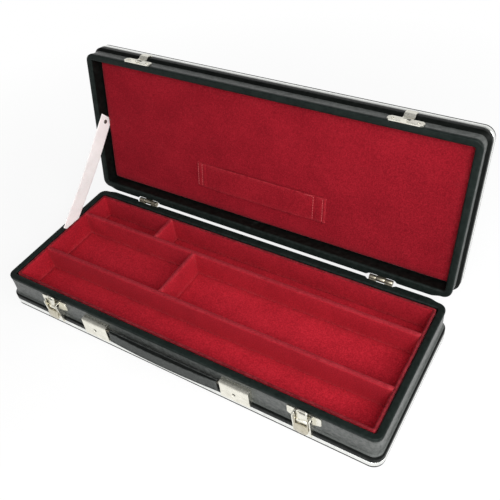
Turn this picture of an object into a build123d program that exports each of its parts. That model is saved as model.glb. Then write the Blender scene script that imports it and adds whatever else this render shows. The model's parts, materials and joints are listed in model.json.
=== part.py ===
from build123d import *
import os
from math import cos, radians, sin

# Recorder case: a hard case in two shells with velvet compartments, shown open.
# Frame: origin at the centre of the base's underside, +X to the right along the length,
# +Y towards the hinges, +Z up. Millimetres.
# Each half is drawn from its rim plane outwards: height 0 is the rim plane, and an inset is
# measured inwards from the rim's outline, so a negative inset stands outside it.

# Outline and heights
case_length = 350.0
case_depth = 132.0
corner_radius = 7.0
base_height = 33.0
lid_height = 25.0
rim_gap = 0.4
lid_opening = 100.5

# Walls, panels and rim
wall_inset = 0.4
wall_thickness = 4.0
panel_thickness = 3.0
rim_width = 5.6
rim_height = 3.0
rim_outer_bevel = 0.7
rim_inner_bevel = 1.2
base_skirt = 7.0
lid_skirt = 10.0

# Edge moulding with its bright strip, measured from the outer panel's face
band_proud = 2.0
band_height = 11.2
flare_height = 2.2
strip_start = 2.0
strip_width = 4.6
strip_depth = 1.1
strip_proud = 0.15
strip_bevel = 0.5
foot_bevel = 1.0

# Velvet lining and dividers of the base
lining_gap = 1.0
lining_thickness = 2.0
lining_drop = 0.5
floor_thickness = 5.5
divider_thickness = 4.2
divider_drop = 0.7
front_divider_y = -22.0
rear_divider_y = 30.8
middle_cross_x = -39.9
rear_cross_x = -84.8

# Padded lining and strap of the lid
pad_recess = 9.8
pad_edge = 12.6
strap_length = 127.0
strap_width = 23.0
strap_x = -1.5
strap_y = 27.0
strap_thickness = 1.2
strap_hem = 9.0
strap_rise = 1.0

# Hinges
hinge_x = 119.0
hinge_rivet_offset = 6.0
hinge_rivet_radius = 1.6
hinge_y = case_depth / 2 + 2.7
hinge_z = base_height + 0.5
hinge_width = 20.0
hinge_knuckle_radius = 2.2
hinge_pin_radius = 0.8
hinge_middle = 7.2
hinge_slack = 0.3
running_fit = 0.05
leaf_thickness = 1.0
leaf_start = 2.1
leaf_length = 9.2
knuckle_wrap = 1.5
rivet_rise = 0.5

# Latches and strikes
latch_x = 119.0
latch_width = 14.5
wing_span = 27.0
wing_end = 21.0
wing_root = 19.0
wing_corner = 0.8
wing_rivet_z = 25.4
small_rivet_radius = 1.5
sheet = 1.0
cheek = 1.2
plate_top = 29.5
plate_foot = 6.9
foot_gap = 0.1
lever_width = 11.4
lever_end = 9.6
lever_face = 71.3
lever_bulge = 72.5
lever_tip = 71.8
lever_bulge_z = 15.0
lever_start_drop = 3.0
ear_radius = 1.9
lever_pivot = (-69.6, 27.3)
link_pivot = (-69.0, 22.6)
lever_pin_radius = 1.0
link_pin_radius = 0.9
link_width = 8.6
link_eye_radius = 1.6
link_top = 34.8
link_corner = 1.4
claw_bottom = 31.2
claw_top = 33.6
claw_width = 5.6
lip_bottom = 32.3
lip_thickness = 0.8
lip_reach = 70.3
tongue_width = 4.4
strike_start = 0.8
strike_end = 8.4
strike_corner = 2.0
strike_rivet_offset = 9.4
stem_width = 8.4
tongue_hole_height = 2.6
tongue_hole_middle = 5.6

# Handle, which sits a little left of the middle
handle_x = -4.75
cap_inner = 55.0
cap_width = 25.5
cap_front = 70.8
cap_top = 26.0
cap_shoulder = 25.6
cap_edge = 0.6
cap_bottom = 9.4
cap_sheet = 0.9
cap_rivet_z = 17.5
cap_rivet_sunk = 0.3
rod_y = -68.5
rod_z = 21.4
rod_radius = 1.3
rod_reach = 61.5
grip_length = 105.0
grip_back = 68.4
grip_end_front = 70.6
grip_middle_front = 72.2
grip_top_back = 67.5
grip_top = 23.8
grip_bottom = 11.0
grip_step_top = 17.8
grip_step_bottom = 16.0
grip_edge = 1.2

# Ribbon stay
stay_width = 14.5
stay_thickness = 0.7
stay_rivet_height = 7.0
stay_base_y = 11.9
stay_end = 5.5
stay_tuck = 6.3
stay_hole_radius = 1.6
stay_rivet_radius = 1.5
stay_head_radius = 2.8
stay_head_rise = 0.8

parting = base_height + rim_gap
wall_inner = wall_inset + wall_thickness
front = -case_depth / 2
back = case_depth / 2
wall_face = front + wall_inset
band_face = front - band_proud
cutter_depth = 20.0
beyond_front = 60.0
opening_axis = Axis((0, hinge_y, hinge_z), (1, 0, 0))
os.makedirs("parts", exist_ok=True)


# Writing the pieces
def write(piece, name):
    piece.label = name
    export_step(piece, f"parts/{name}.step")


def write_lid(piece, name):
    """A lid piece is modelled on the closed case and then turned open about the hinge pins."""
    write(piece.rotate(opening_axis, -lid_opening), name)


def as_base(piece):
    """Turns a piece drawn outwards from the rim plane into its place under the base's rim."""
    return Pos(0, 0, base_height) * mirror(piece, about=Plane.XY)


def as_lid(piece):
    return Pos(0, 0, parting) * piece


def outline(inset, mode=Mode.ADD):
    radius = max(corner_radius - inset, 1.5)
    RectangleRounded(case_length - 2 * inset, case_depth - 2 * inset, radius, mode=mode)


def frame_sketch(height, outer, inner):
    """A rounded rectangular frame between two insets, on the plane at this height."""
    with BuildSketch(Plane.XY.offset(height)) as frame:
        outline(outer)
        outline(inner, mode=Mode.SUBTRACT)
    return frame.sketch


# Shell pieces that the two halves share
def shell_wall(height):
    with BuildPart() as wall:
        add(frame_sketch(rim_height, wall_inset, wall_inner))
        extrude(amount=height - rim_height - panel_thickness)
    return wall.part


def shell_panel(height):
    with BuildPart() as panel:
        with BuildSketch(Plane.XY.offset(height - panel_thickness)):
            outline(wall_inset)
        extrude(amount=panel_thickness)
    return panel.part


def shell_rim(skirt):
    """Channel over the wall's edge: its edges are broken, and a skirt goes down the inside."""
    with BuildPart() as rim:
        add(frame_sketch(0, 0, rim_width))
        extrude(amount=rim_height)
        add(frame_sketch(rim_height, wall_inner, rim_width))
        extrude(amount=skirt - rim_height)
        rim_plane = rim.faces().sort_by(Axis.Z)[0]
        chamfer(rim_plane.outer_wire().edges(), rim_outer_bevel)
        rim_plane = rim.faces().sort_by(Axis.Z)[0]
        chamfer(rim_plane.inner_wires()[0].edges(), rim_inner_bevel)
    return rim.part


def edge_band(height):
    """Black moulding round the outer edge, flared on to the wall, with a channel for the strip."""
    foot = height - band_height
    with BuildPart() as band:
        with BuildSketch(Plane.XY.offset(foot)):
            outline(-band_proud)
        extrude(amount=band_height)
        with BuildSketch(Plane.XY.offset(foot)):
            outline(-band_proud)
        extrude(amount=-flare_height, taper=45)
        chamfer(band.faces().sort_by(Axis.Z)[-1].outer_wire().edges(), foot_bevel)
        with BuildSketch(Plane.XY.offset(foot - flare_height)):
            outline(wall_inset)
        extrude(amount=band_height + flare_height, mode=Mode.SUBTRACT)
        add(frame_sketch(height - strip_start, -band_proud - 1, strip_depth - band_proud))
        extrude(amount=-strip_width, mode=Mode.SUBTRACT)
    return band.part


def bright_strip(height):
    with BuildPart() as strip:
        add(frame_sketch(height - strip_start, -band_proud - strip_proud, strip_depth - band_proud))
        extrude(amount=-strip_width)
        for face in (strip.faces().sort_by(Axis.Z)[0], strip.faces().sort_by(Axis.Z)[-1]):
            chamfer(face.outer_wire().edges(), strip_bevel)
    return strip.part


write(as_base(shell_wall(base_height)), "base_shell")
write(as_base(shell_panel(base_height)), "base_bottom")
write(as_base(shell_rim(base_skirt)), "base_rim")
write(as_base(edge_band(base_height)), "base_edge_band")
write(as_base(bright_strip(base_height)), "base_silver_trim")

write_lid(as_lid(shell_wall(lid_height)), "lid_shell")
write_lid(as_lid(shell_panel(lid_height)), "lid_top")
write_lid(as_lid(shell_rim(lid_skirt)), "lid_rim")
write_lid(as_lid(edge_band(lid_height)), "lid_edge_band")
write_lid(as_lid(bright_strip(lid_height)), "lid_silver_trim")


# Velvet lining of the base
floor_top = panel_thickness + floor_thickness
lining_top = base_height - lining_drop
lining_step = base_height - base_skirt - 0.5
lining_outer = rim_width + lining_gap
lining_inner = lining_outer + lining_thickness

with BuildPart() as base_floor_pad:
    with BuildSketch(Plane.XY.offset(panel_thickness)):
        outline(wall_inner)
    extrude(amount=floor_thickness)
write(base_floor_pad.part, "base_floor_pad")

# The lining stands on the floor, thick against the wall below and thin behind the rim's skirt,
# where the stay is tucked in.
with BuildPart() as base_wall_lining:
    add(frame_sketch(floor_top, wall_inner, lining_inner))
    extrude(amount=lining_step - floor_top)
    add(frame_sketch(lining_step, lining_outer, lining_inner))
    extrude(amount=lining_top - lining_step)
    chamfer(base_wall_lining.faces().sort_by(Axis.Z)[-1].edges(), 0.7)
write(base_wall_lining.part, "base_wall_lining")


def divider(x_start, x_end, y_start, y_end):
    """A covered board with a rounded top, standing on the floor between these coordinates."""
    centre = ((x_start + x_end) / 2, (y_start + y_end) / 2)
    along = Axis.X if x_end - x_start > y_end - y_start else Axis.Y
    with BuildPart() as board:
        with BuildSketch(Plane.XY.offset(floor_top)):
            with Locations(centre):
                Rectangle(x_end - x_start, y_end - y_start)
        extrude(amount=base_height - divider_drop - floor_top)
        fillet(board.faces().sort_by(Axis.Z)[-1].edges().filter_by(along), divider_thickness * 0.42)
    return board.part


inner_x = case_length / 2 - lining_inner
inner_y = case_depth / 2 - lining_inner
half_board = divider_thickness / 2
write(divider(-inner_x, inner_x, front_divider_y - half_board, front_divider_y + half_board), "front_divider")
write(divider(-inner_x, inner_x, rear_divider_y - half_board, rear_divider_y + half_board), "rear_divider")
write(
    divider(
        middle_cross_x - half_board,
        middle_cross_x + half_board,
        front_divider_y + half_board,
        rear_divider_y - half_board,
    ),
    "middle_cross_divider",
)
write(
    divider(rear_cross_x - half_board, rear_cross_x + half_board, rear_divider_y + half_board, inner_y),
    "rear_cross_divider",
)

# Padded panel of the lid: straight sides, then a crown that draws in towards its flat middle
with BuildPart() as lid_pad:
    with BuildSketch(Plane.XY.offset(parting + pad_edge)):
        outline(lining_outer)
    extrude(amount=lid_height - panel_thickness - pad_edge)
    for height, inset in ((pad_edge, 0), (pad_edge - 1.9, 3.0), (pad_recess, 8.4)):
        with BuildSketch(Plane.XY.offset(parting + height)):
            outline(lining_outer + inset)
    loft(ruled=True)
write_lid(lid_pad.part, "lid_pad")

# Flat band sewn on the pad: hemmed ends and a middle that stands off a little
with BuildPart() as lid_strap:
    with BuildSketch(Plane.XZ.offset(-strap_y - strap_width / 2)):
        with BuildLine():
            seat = parting + pad_recess
            left = strap_x - strap_length / 2
            right = strap_x + strap_length / 2
            crest = seat - strap_thickness - strap_rise
            Polyline(
                (left + strap_hem, seat - strap_thickness),
                (left + strap_hem, seat - strap_thickness - 0.5),
                (left, seat - strap_thickness - 0.5),
                (left, seat),
                (right, seat),
                (right, seat - strap_thickness - 0.5),
                (right - strap_hem, seat - strap_thickness - 0.5),
                (right - strap_hem, seat - strap_thickness),
            )
            ThreePointArc(
                (right - strap_hem, seat - strap_thickness),
                (strap_x, crest),
                (left + strap_hem, seat - strap_thickness),
            )
        make_face()
    extrude(amount=strap_width)
write_lid(lid_strap.part, "lid_strap")


# Hinges
def on_hinge(angle_deg, radius):
    return (hinge_y + radius * cos(radians(angle_deg)), hinge_z + radius * sin(radians(angle_deg)))


def hinge_leaf(centre_x, side, knuckle_spans):
    """A leaf on the rear wall with rolled knuckles. side is -1 for the base's leaf, 1 for the lid's."""
    near = hinge_z + side * leaf_start
    far = near + side * leaf_length
    wall_start = (base_height if side < 0 else parting) + side * rim_height
    with BuildPart() as leaf:
        with BuildSketch(Plane.YZ.offset(centre_x - hinge_width / 2)):
            with BuildLine():
                Polyline(
                    (back, near),
                    (back + leaf_thickness, near),
                    (back + leaf_thickness, far),
                    (back - wall_inset, far),
                    (back - wall_inset, wall_start),
                    (back, wall_start),
                    close=True,
                )
            make_face()
        extrude(amount=hinge_width)
        for start, end in knuckle_spans:
            with BuildSketch(Plane.YZ.offset(centre_x + start)):
                with Locations((hinge_y, hinge_z)):
                    Circle(hinge_knuckle_radius)
                with BuildLine():
                    Polyline(
                        (back, near + side * knuckle_wrap),
                        (back + leaf_thickness, near + side * knuckle_wrap),
                        (hinge_y, hinge_z + side * hinge_knuckle_radius),
                        (hinge_y, hinge_z),
                        on_hinge(180, hinge_knuckle_radius),
                        (back, hinge_z + side * 1.0),
                        close=True,
                    )
                make_face()
            extrude(amount=end - start)
        bore = hinge_pin_radius if side < 0 else hinge_pin_radius + running_fit
        with BuildSketch(Plane.YZ.offset(centre_x - hinge_width / 2)):
            with Locations((hinge_y, hinge_z)):
                Circle(bore)
        extrude(amount=hinge_width, mode=Mode.SUBTRACT)
    return leaf.part


outer_knuckle = hinge_middle / 2 + hinge_slack
base_spans = ((-hinge_width / 2, -outer_knuckle), (outer_knuckle, hinge_width / 2))
lid_spans = ((-hinge_middle / 2, hinge_middle / 2),)
for hand, sign in (("left", -1), ("right", 1)):
    write(hinge_leaf(sign * hinge_x, -1, base_spans), f"hinge_base_leaf_{hand}")
    write_lid(hinge_leaf(sign * hinge_x, 1, lid_spans), f"hinge_lid_leaf_{hand}")

with BuildPart() as hinge_pins:
    for sign in (-1, 1):
        with BuildSketch(Plane.YZ.offset(sign * hinge_x - hinge_width / 2)):
            with Locations((hinge_y, hinge_z)):
                Circle(hinge_pin_radius)
        extrude(amount=hinge_width)
write(hinge_pins.part, "hinge_pins")


# Rivets: low flat heads standing on their faces
def rivet_heads(positions, radius, rise, outward):
    """Heads at these points, each standing out of its face along the unit vector outward."""
    with BuildPart() as heads:
        for position in positions:
            with BuildSketch(Plane(origin=position, x_dir=(1, 0, 0), z_dir=outward)):
                Circle(radius)
            extrude(amount=rise)
    return heads.part


def at_both(centre_x, offsets, y, z):
    return [(sign * centre_x + offset, y, z) for sign in (-1, 1) for offset in offsets]


leaf_face = back + leaf_thickness
leaf_middle = leaf_start + 0.6 * leaf_length
leaf_offsets = (-hinge_rivet_offset, hinge_rivet_offset)
base_heads = at_both(hinge_x, leaf_offsets, leaf_face, hinge_z - leaf_middle)
lid_heads = at_both(hinge_x, leaf_offsets, leaf_face, hinge_z + leaf_middle)
write(rivet_heads(base_heads, hinge_rivet_radius, rivet_rise, (0, 1, 0)), "hinge_base_rivets")
write_lid(rivet_heads(lid_heads, hinge_rivet_radius, rivet_rise, (0, 1, 0)), "hinge_lid_rivets")


# Latches: a stamped T-plate with two cheeks, a lever on stub pins and a slotted draw link
flare_foot = band_height + flare_height


def latch_plate(centre_x):
    half = latch_width / 2
    with BuildPart() as plate:
        # Wings on the wall, slanted in towards the body
        with BuildSketch(Plane.XZ.offset(-wall_face)):
            with Locations((centre_x, 0)):
                Polygon(
                    (-wing_span / 2, plate_top),
                    (wing_span / 2, plate_top),
                    (wing_span / 2, wing_end),
                    (half, wing_root),
                    (-half, wing_root),
                    (-wing_span / 2, wing_end),
                    align=None,
                )
        extrude(amount=sheet)
        corners = plate.edges().filter_by(Axis.Y).group_by(Axis.Z)
        chamfer(corners[-1] + corners[-2], wing_corner)
        # Body: down the wall, out over the moulding's flare and down its face
        body_face = band_face - foot_gap
        with BuildSketch(Plane.YZ.offset(centre_x - half)):
            Polygon(
                (wall_face, plate_top),
                (wall_face - sheet, plate_top),
                (wall_face - sheet, flare_foot + 0.7),
                (body_face - sheet, band_height + 0.4),
                (body_face - sheet, plate_foot),
                (body_face, plate_foot),
                (body_face, band_height + foot_gap),
                (wall_face - 0.3, flare_foot + foot_gap),
                (wall_face, flare_foot + foot_gap),
                align=None,
            )
        extrude(amount=latch_width)
        # Cheeks that carry the lever's stub pins
        for start in (-half, half - cheek):
            with BuildSketch(Plane.YZ.offset(centre_x + start)):
                Polygon(
                    (wall_face - sheet / 2, plate_top),
                    (lever_pivot[0], plate_top),
                    (lever_pivot[0] - 1.7, lever_pivot[1] + 1.2),
                    (lever_pivot[0] - 2.0, lever_pivot[1] - 0.6),
                    (lever_pivot[0] - 1.2, lever_bulge_z + 1.0),
                    (lever_pivot[0] - 0.8, plate_foot + 0.7),
                    (lever_pivot[0], plate_foot),
                    (band_face - sheet / 2, plate_foot),
                    (band_face - sheet / 2, band_height + 0.2),
                    (wall_face - sheet / 2, flare_foot + 0.6),
                    align=None,
                )
                with Locations(lever_pivot):
                    Circle(lever_pin_radius, mode=Mode.SUBTRACT)
            extrude(amount=cheek)
    return plate.part


def latch_lever(centre_x):
    """Channel lever: two ears on the pivots and a bulged finger plate below the link's pivot."""
    half = lever_width / 2
    plate_start = link_pivot[1] - lever_start_drop
    outer = [(-lever_face, plate_start), (-lever_bulge, lever_bulge_z), (-lever_tip, lever_end)]
    inner = [(y + sheet, z) for y, z in reversed(outer)]
    with BuildPart() as lever:
        with BuildSketch(Plane.YZ.offset(centre_x - half)):
            with BuildLine():
                ThreePointArc(*outer)
                Line(outer[-1], inner[0])
                ThreePointArc(*inner)
                Line(inner[-1], outer[0])
            make_face()
        extrude(amount=lever_width)
        # The finger plate ends in a half round
        with BuildSketch(Plane.XZ.offset(beyond_front)):
            with Locations((centre_x, lever_end + half)):
                Rectangle(lever_width, cutter_depth, align=(Align.CENTER, Align.MIN))
                Circle(half)
        extrude(amount=cutter_depth, mode=Mode.INTERSECT)
        ear_foot = lever_end + half + 0.5
        for start in (-half, half - sheet):
            with BuildSketch(Plane.YZ.offset(centre_x + start)):
                Polygon(
                    (link_pivot[0] + ear_radius, link_pivot[1] + 0.5),
                    (lever_pivot[0] + ear_radius, lever_pivot[1] + 0.8),
                    (lever_pivot[0] + 0.8, lever_pivot[1] + ear_radius),
                    (lever_pivot[0] - 0.8, lever_pivot[1] + ear_radius),
                    (lever_pivot[0] - ear_radius, lever_pivot[1] + 0.8),
                    (-lever_face, plate_start),
                    (-lever_face - 0.2, ear_foot + 1.0),
                    (-lever_face + 0.7, ear_foot),
                    (-lever_face + 1.9, ear_foot + 1.5),
                    (link_pivot[0] + ear_radius, link_pivot[1] - 0.8),
                    align=None,
                )
                with Locations(lever_pivot):
                    Circle(lever_pin_radius + running_fit, mode=Mode.SUBTRACT)
                with Locations(link_pivot):
                    Circle(link_pin_radius, mode=Mode.SUBTRACT)
            extrude(amount=sheet)
    return lever.part


def latch_link(centre_x):
    """Draw link: a rolled eye on the lever's pin and a flat strap with the slot for the strike's lip."""
    half = link_width / 2
    with BuildPart() as link:
        with BuildSketch(Plane.YZ.offset(centre_x - half)):
            with Locations((link_pivot[0], (link_pivot[1] + link_top) / 2)):
                Rectangle(sheet, link_top - link_pivot[1])
            with Locations(link_pivot):
                Circle(link_eye_radius)
                Circle(link_pin_radius + running_fit, mode=Mode.SUBTRACT)
        extrude(amount=link_width)
        top_corners = link.edges().filter_by(Axis.Y).group_by(Axis.Z)[-1]
        chamfer(top_corners, link_corner)
        with BuildSketch(Plane.XZ.offset(beyond_front)):
            with Locations((centre_x, (claw_bottom + claw_top) / 2)):
                Rectangle(claw_width, claw_top - claw_bottom)
        extrude(amount=cutter_depth, mode=Mode.SUBTRACT)
    return link.part


def cross_pin(centre_x, pivot, radius, start, end):
    with BuildPart() as pin:
        with BuildSketch(Plane.YZ.offset(centre_x + start)):
            with Locations(pivot):
                Circle(radius)
        extrude(amount=end - start)
    return pin.part


lever_half = lever_width / 2
stub_inner = lever_half - sheet
stub_outer = latch_width / 2 + 0.5
for hand, sign in (("left", -1), ("right", 1)):
    centre = sign * latch_x
    write(latch_plate(centre), f"latch_plate_{hand}")
    write(latch_lever(centre), f"latch_lever_{hand}")
    write(latch_link(centre), f"latch_link_{hand}")
    write(cross_pin(centre, link_pivot, link_pin_radius, -lever_half, lever_half), f"link_pin_{hand}")

stubs = []
for sign in (-1, 1):
    stubs.append(cross_pin(sign * latch_x, lever_pivot, lever_pin_radius, -stub_outer, -stub_inner))
    stubs.append(cross_pin(sign * latch_x, lever_pivot, lever_pin_radius, stub_inner, stub_outer))
write(Compound(children=stubs), "latch_pivot_pins")

wing_rivet_x = (latch_width + wing_span) / 4
wing_rivets = at_both(latch_x, (-wing_rivet_x, wing_rivet_x), wall_face - sheet, wing_rivet_z)
write(rivet_heads(wing_rivets, small_rivet_radius, rivet_rise, (0, -1, 0)), "latch_rivets")


def strike_plate(centre_x):
    """T-plate on the lid's front: a crossbar, a stem up to the strip and a hooked tongue."""
    bar_bottom = parting + strike_start
    bar_top = parting + strike_end
    stem_face = band_face - foot_gap
    tongue_face = front - sheet - lip_thickness
    flare_start = parting + lid_height - band_height - flare_height
    stem_top = parting + lid_height - strip_start - strip_width
    with BuildPart() as strike:
        with BuildSketch(Plane.XZ.offset(-front)):
            with Locations((centre_x, (bar_bottom + bar_top) / 2)):
                Rectangle(wing_span, bar_top - bar_bottom)
        extrude(amount=sheet)
        bar_corners = strike.edges().filter_by(Axis.Y)
        chamfer(bar_corners, strike_corner)
        with BuildSketch(Plane.YZ.offset(centre_x - stem_width / 2)):
            Polygon(
                (front, bar_bottom + 3),
                (front - sheet, bar_bottom + 3),
                (front - sheet, flare_start - 0.5),
                (stem_face - sheet, flare_start + 1.6),
                (stem_face - sheet, stem_top),
                (stem_face, stem_top),
                (stem_face, flare_start + 2.0),
                (front, flare_start - foot_gap),
                align=None,
            )
        extrude(amount=stem_width)
        # The hole that the tongue was pressed out of
        with BuildSketch(Plane.XZ.offset(beyond_front)):
            with Locations((centre_x, bar_bottom + tongue_hole_middle)):
                Rectangle(tongue_width + 1.2, tongue_hole_height)
        extrude(amount=cutter_depth, mode=Mode.SUBTRACT)
        # The tongue stands proud of the bar, passes the rim plane and ends in an outward lip
        with BuildSketch(Plane.YZ.offset(centre_x - tongue_width / 2)):
            Polygon(
                (front - sheet / 2, bar_bottom + 4.3),
                (tongue_face, bar_bottom + 3.4),
                (tongue_face, lip_bottom + lip_thickness),
                (-lip_reach, lip_bottom + lip_thickness),
                (-lip_reach, lip_bottom),
                (front - sheet, lip_bottom),
                (front - sheet, bar_bottom + 1),
                (front - sheet / 2, bar_bottom + 1),
                align=None,
            )
        extrude(amount=tongue_width)
    return strike.part


for hand, sign in (("left", -1), ("right", 1)):
    write_lid(strike_plate(sign * latch_x), f"strike_plate_{hand}")
strike_middle = parting + (strike_start + strike_end) / 2
strike_heads = at_both(latch_x, (-strike_rivet_offset, strike_rivet_offset), front - sheet, strike_middle)
write_lid(rivet_heads(strike_heads, small_rivet_radius, rivet_rise, (0, -1, 0)), "strike_rivets")


# Handle: two stamped caps, a steel rod that turns in them and the moulded grip round it
def handle_cap(sign):
    """A shallow cap, open to the wall, with a flat top and a bore for the rod on its inner side."""
    start = handle_x + (cap_inner if sign > 0 else -cap_inner - cap_width)
    inner_wall = start if sign > 0 else start + cap_width - cap_sheet
    inside_front = cap_sheet - cap_front
    with BuildPart() as cap:
        with BuildSketch(Plane.YZ.offset(start)):
            Polygon(
                (wall_face, cap_top),
                (cap_edge - cap_front, cap_shoulder),
                (-cap_front, cap_shoulder - cap_edge),
                (-cap_front, cap_bottom),
                (band_face - foot_gap, cap_bottom),
                (band_face - foot_gap, band_height + foot_gap),
                (wall_face - 0.3, flare_foot + foot_gap),
                (wall_face, flare_foot + foot_gap),
                align=None,
            )
        extrude(amount=cap_width)
        with BuildSketch(Plane.YZ.offset(start + cap_sheet)):
            Polygon(
                (wall_face + 1, cap_top - cap_sheet),
                (wall_face, cap_top - cap_sheet),
                (inside_front, cap_shoulder - cap_sheet),
                (inside_front, cap_bottom + cap_sheet),
                (wall_face + 1, cap_bottom + cap_sheet),
                align=None,
            )
        extrude(amount=cap_width - 2 * cap_sheet, mode=Mode.SUBTRACT)
        upright = cap.edges().filter_by(Axis.Z).group_by(Axis.Y)[0]
        chamfer(upright, cap_edge)
        with BuildSketch(Plane.YZ.offset(inner_wall)):
            with Locations((rod_y, rod_z)):
                Circle(rod_radius + running_fit)
        extrude(amount=cap_sheet, mode=Mode.SUBTRACT)
        with BuildSketch(Plane.XZ.offset(cap_front - cap_sheet)):
            with Locations((start + cap_width / 2, cap_rivet_z)):
                Circle(small_rivet_radius)
        extrude(amount=cap_sheet, mode=Mode.SUBTRACT)
    return cap.part


write(handle_cap(-1), "handle_cap_left")
write(handle_cap(1), "handle_cap_right")

# The caps' rivets run from the wall to a head sunk in the cap's face
with BuildPart() as handle_rivets:
    for sign in (-1, 1):
        with BuildSketch(Plane.XZ.offset(-wall_face)):
            with Locations((handle_x + sign * (cap_inner + cap_width / 2), cap_rivet_z)):
                Circle(small_rivet_radius)
        extrude(amount=cap_front - cap_rivet_sunk + wall_face)
write(handle_rivets.part, "handle_rivets")

with BuildPart() as handle_rod:
    with BuildSketch(Plane.YZ.offset(handle_x - rod_reach)):
        with Locations((rod_y, rod_z)):
            Circle(rod_radius)
    extrude(amount=2 * rod_reach)
write(handle_rod.part, "handle_rod")

# The grip bows outwards between the caps
with BuildPart() as handle_grip:
    grip_left = handle_x - grip_length / 2
    grip_right = handle_x + grip_length / 2
    with BuildSketch(Plane.XY.offset(grip_bottom)):
        with BuildLine():
            Polyline(
                (grip_left, -grip_end_front),
                (grip_left, -grip_top_back),
                (grip_right, -grip_top_back),
                (grip_right, -grip_end_front),
            )
            ThreePointArc(
                (grip_right, -grip_end_front),
                (handle_x, -grip_middle_front),
                (grip_left, -grip_end_front),
            )
        make_face()
    extrude(amount=grip_top - grip_bottom)
    # Below the rod the back is cut clear of the edge moulding
    with BuildSketch(Plane.YZ.offset(grip_left)):
        Polygon(
            (-beyond_front, grip_step_top),
            (-grip_top_back, grip_step_top),
            (-grip_back, grip_step_bottom),
            (-grip_back, 0),
            (-beyond_front, 0),
            align=None,
        )
    extrude(amount=grip_length, mode=Mode.SUBTRACT)
    chamfer(handle_grip.faces().sort_by(Axis.Y)[0].outer_wire().edges(), grip_edge)
    with BuildSketch(Plane.YZ.offset(grip_left)):
        with Locations((rod_y, rod_z)):
            Circle(rod_radius)
    extrude(amount=grip_length, mode=Mode.SUBTRACT)
write(handle_grip.part, "handle_grip")


# Ribbon stay on the left: tucked behind the base's lining, taut to a rivet in the lid
def opened(y, z):
    """Where a point of the closed lid stands with the lid open."""
    turn = radians(-lid_opening)
    from_y, from_z = y - hinge_y, z - hinge_z
    return (
        hinge_y + from_y * cos(turn) - from_z * sin(turn),
        hinge_z + from_y * sin(turn) + from_z * cos(turn),
    )


skirt_face = -case_length / 2 + rim_width
stay_top = Vector(*opened(0, parting + stay_rivet_height))
stay_foot = Vector(stay_base_y, base_height)
stay_run = (stay_top - stay_foot).normalized()
stay_side = Vector(-stay_run.Y, stay_run.X) * (stay_width / 2)
tuck_z = base_height - stay_tuck


def along_stay_to(z, side):
    start = stay_foot + side
    return start + stay_run * ((z - start.Y) / stay_run.Y)


with BuildPart() as lid_stay:
    with BuildSketch(Plane.YZ.offset(skirt_face)):
        corners = (
            stay_top + stay_run * stay_end + stay_side,
            stay_top + stay_run * stay_end - stay_side,
            along_stay_to(tuck_z, -stay_side),
            along_stay_to(tuck_z, stay_side),
        )
        Polygon(*[(corner.X, corner.Y) for corner in corners], align=None)
        with Locations((stay_top.X, stay_top.Y)):
            Circle(stay_hole_radius, mode=Mode.SUBTRACT)
    extrude(amount=stay_thickness)
write(lid_stay.part, "lid_stay")

with BuildPart() as stay_rivet:
    rivet_centre = (0, parting + stay_rivet_height)
    head_face = skirt_face + stay_thickness + 0.1
    with BuildSketch(Plane.YZ.offset(skirt_face)):
        with Locations(rivet_centre):
            Circle(stay_rivet_radius)
    extrude(amount=head_face - skirt_face)
    with BuildSketch(Plane.YZ.offset(head_face)):
        with Locations(rivet_centre):
            Circle(stay_head_radius)
    extrude(amount=stay_head_rise)
write_lid(stay_rivet.part, "stay_rivet")
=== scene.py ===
import json

from math import cos, pi, radians, sin, sqrt, tan

import bpy
import bmesh
from mathutils import Matrix, Vector, noise


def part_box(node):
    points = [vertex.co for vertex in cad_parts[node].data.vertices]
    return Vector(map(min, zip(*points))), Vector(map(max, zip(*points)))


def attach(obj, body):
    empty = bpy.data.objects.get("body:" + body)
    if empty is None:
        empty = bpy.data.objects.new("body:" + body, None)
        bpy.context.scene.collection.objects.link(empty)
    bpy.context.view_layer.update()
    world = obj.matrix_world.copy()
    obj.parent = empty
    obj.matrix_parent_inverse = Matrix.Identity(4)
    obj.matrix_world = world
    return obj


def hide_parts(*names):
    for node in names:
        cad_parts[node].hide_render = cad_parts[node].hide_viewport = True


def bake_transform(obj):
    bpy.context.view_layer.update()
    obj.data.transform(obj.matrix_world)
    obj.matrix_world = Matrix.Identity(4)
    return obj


# Recorder case: a hard case with a hinged lid, velvet compartments, two draw latches, a handle
# and a ribbon stay. Lengths are in millimetres here and turn into metres in the meshes.
# Each half is drawn from its rim plane outwards: height 0 is the rim plane, and an inset is
# measured inwards from the rim's outline. Shader colours are linear.

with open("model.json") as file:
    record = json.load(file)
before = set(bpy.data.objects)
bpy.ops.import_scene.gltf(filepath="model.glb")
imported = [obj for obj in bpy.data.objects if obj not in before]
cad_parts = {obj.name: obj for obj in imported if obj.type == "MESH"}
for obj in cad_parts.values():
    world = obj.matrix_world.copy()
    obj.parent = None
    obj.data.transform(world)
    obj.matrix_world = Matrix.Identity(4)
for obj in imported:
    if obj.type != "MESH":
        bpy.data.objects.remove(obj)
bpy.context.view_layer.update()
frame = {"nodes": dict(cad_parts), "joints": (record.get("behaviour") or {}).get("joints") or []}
nodes = frame["nodes"]
scene = bpy.context.scene
mm = 0.001

# The camera that took the photograph, from a fit of the case's corners and edges
camera_place = Vector((0.2459, -0.2763, 0.4207))
camera_azimuth = radians(36.237)
camera_elevation = radians(43.490)
camera_roll = radians(-7.642)
camera_lens = 46.69
sensor_width = 36.0


def node_box(name):
    low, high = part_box(name)
    return low / mm, high / mm


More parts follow.
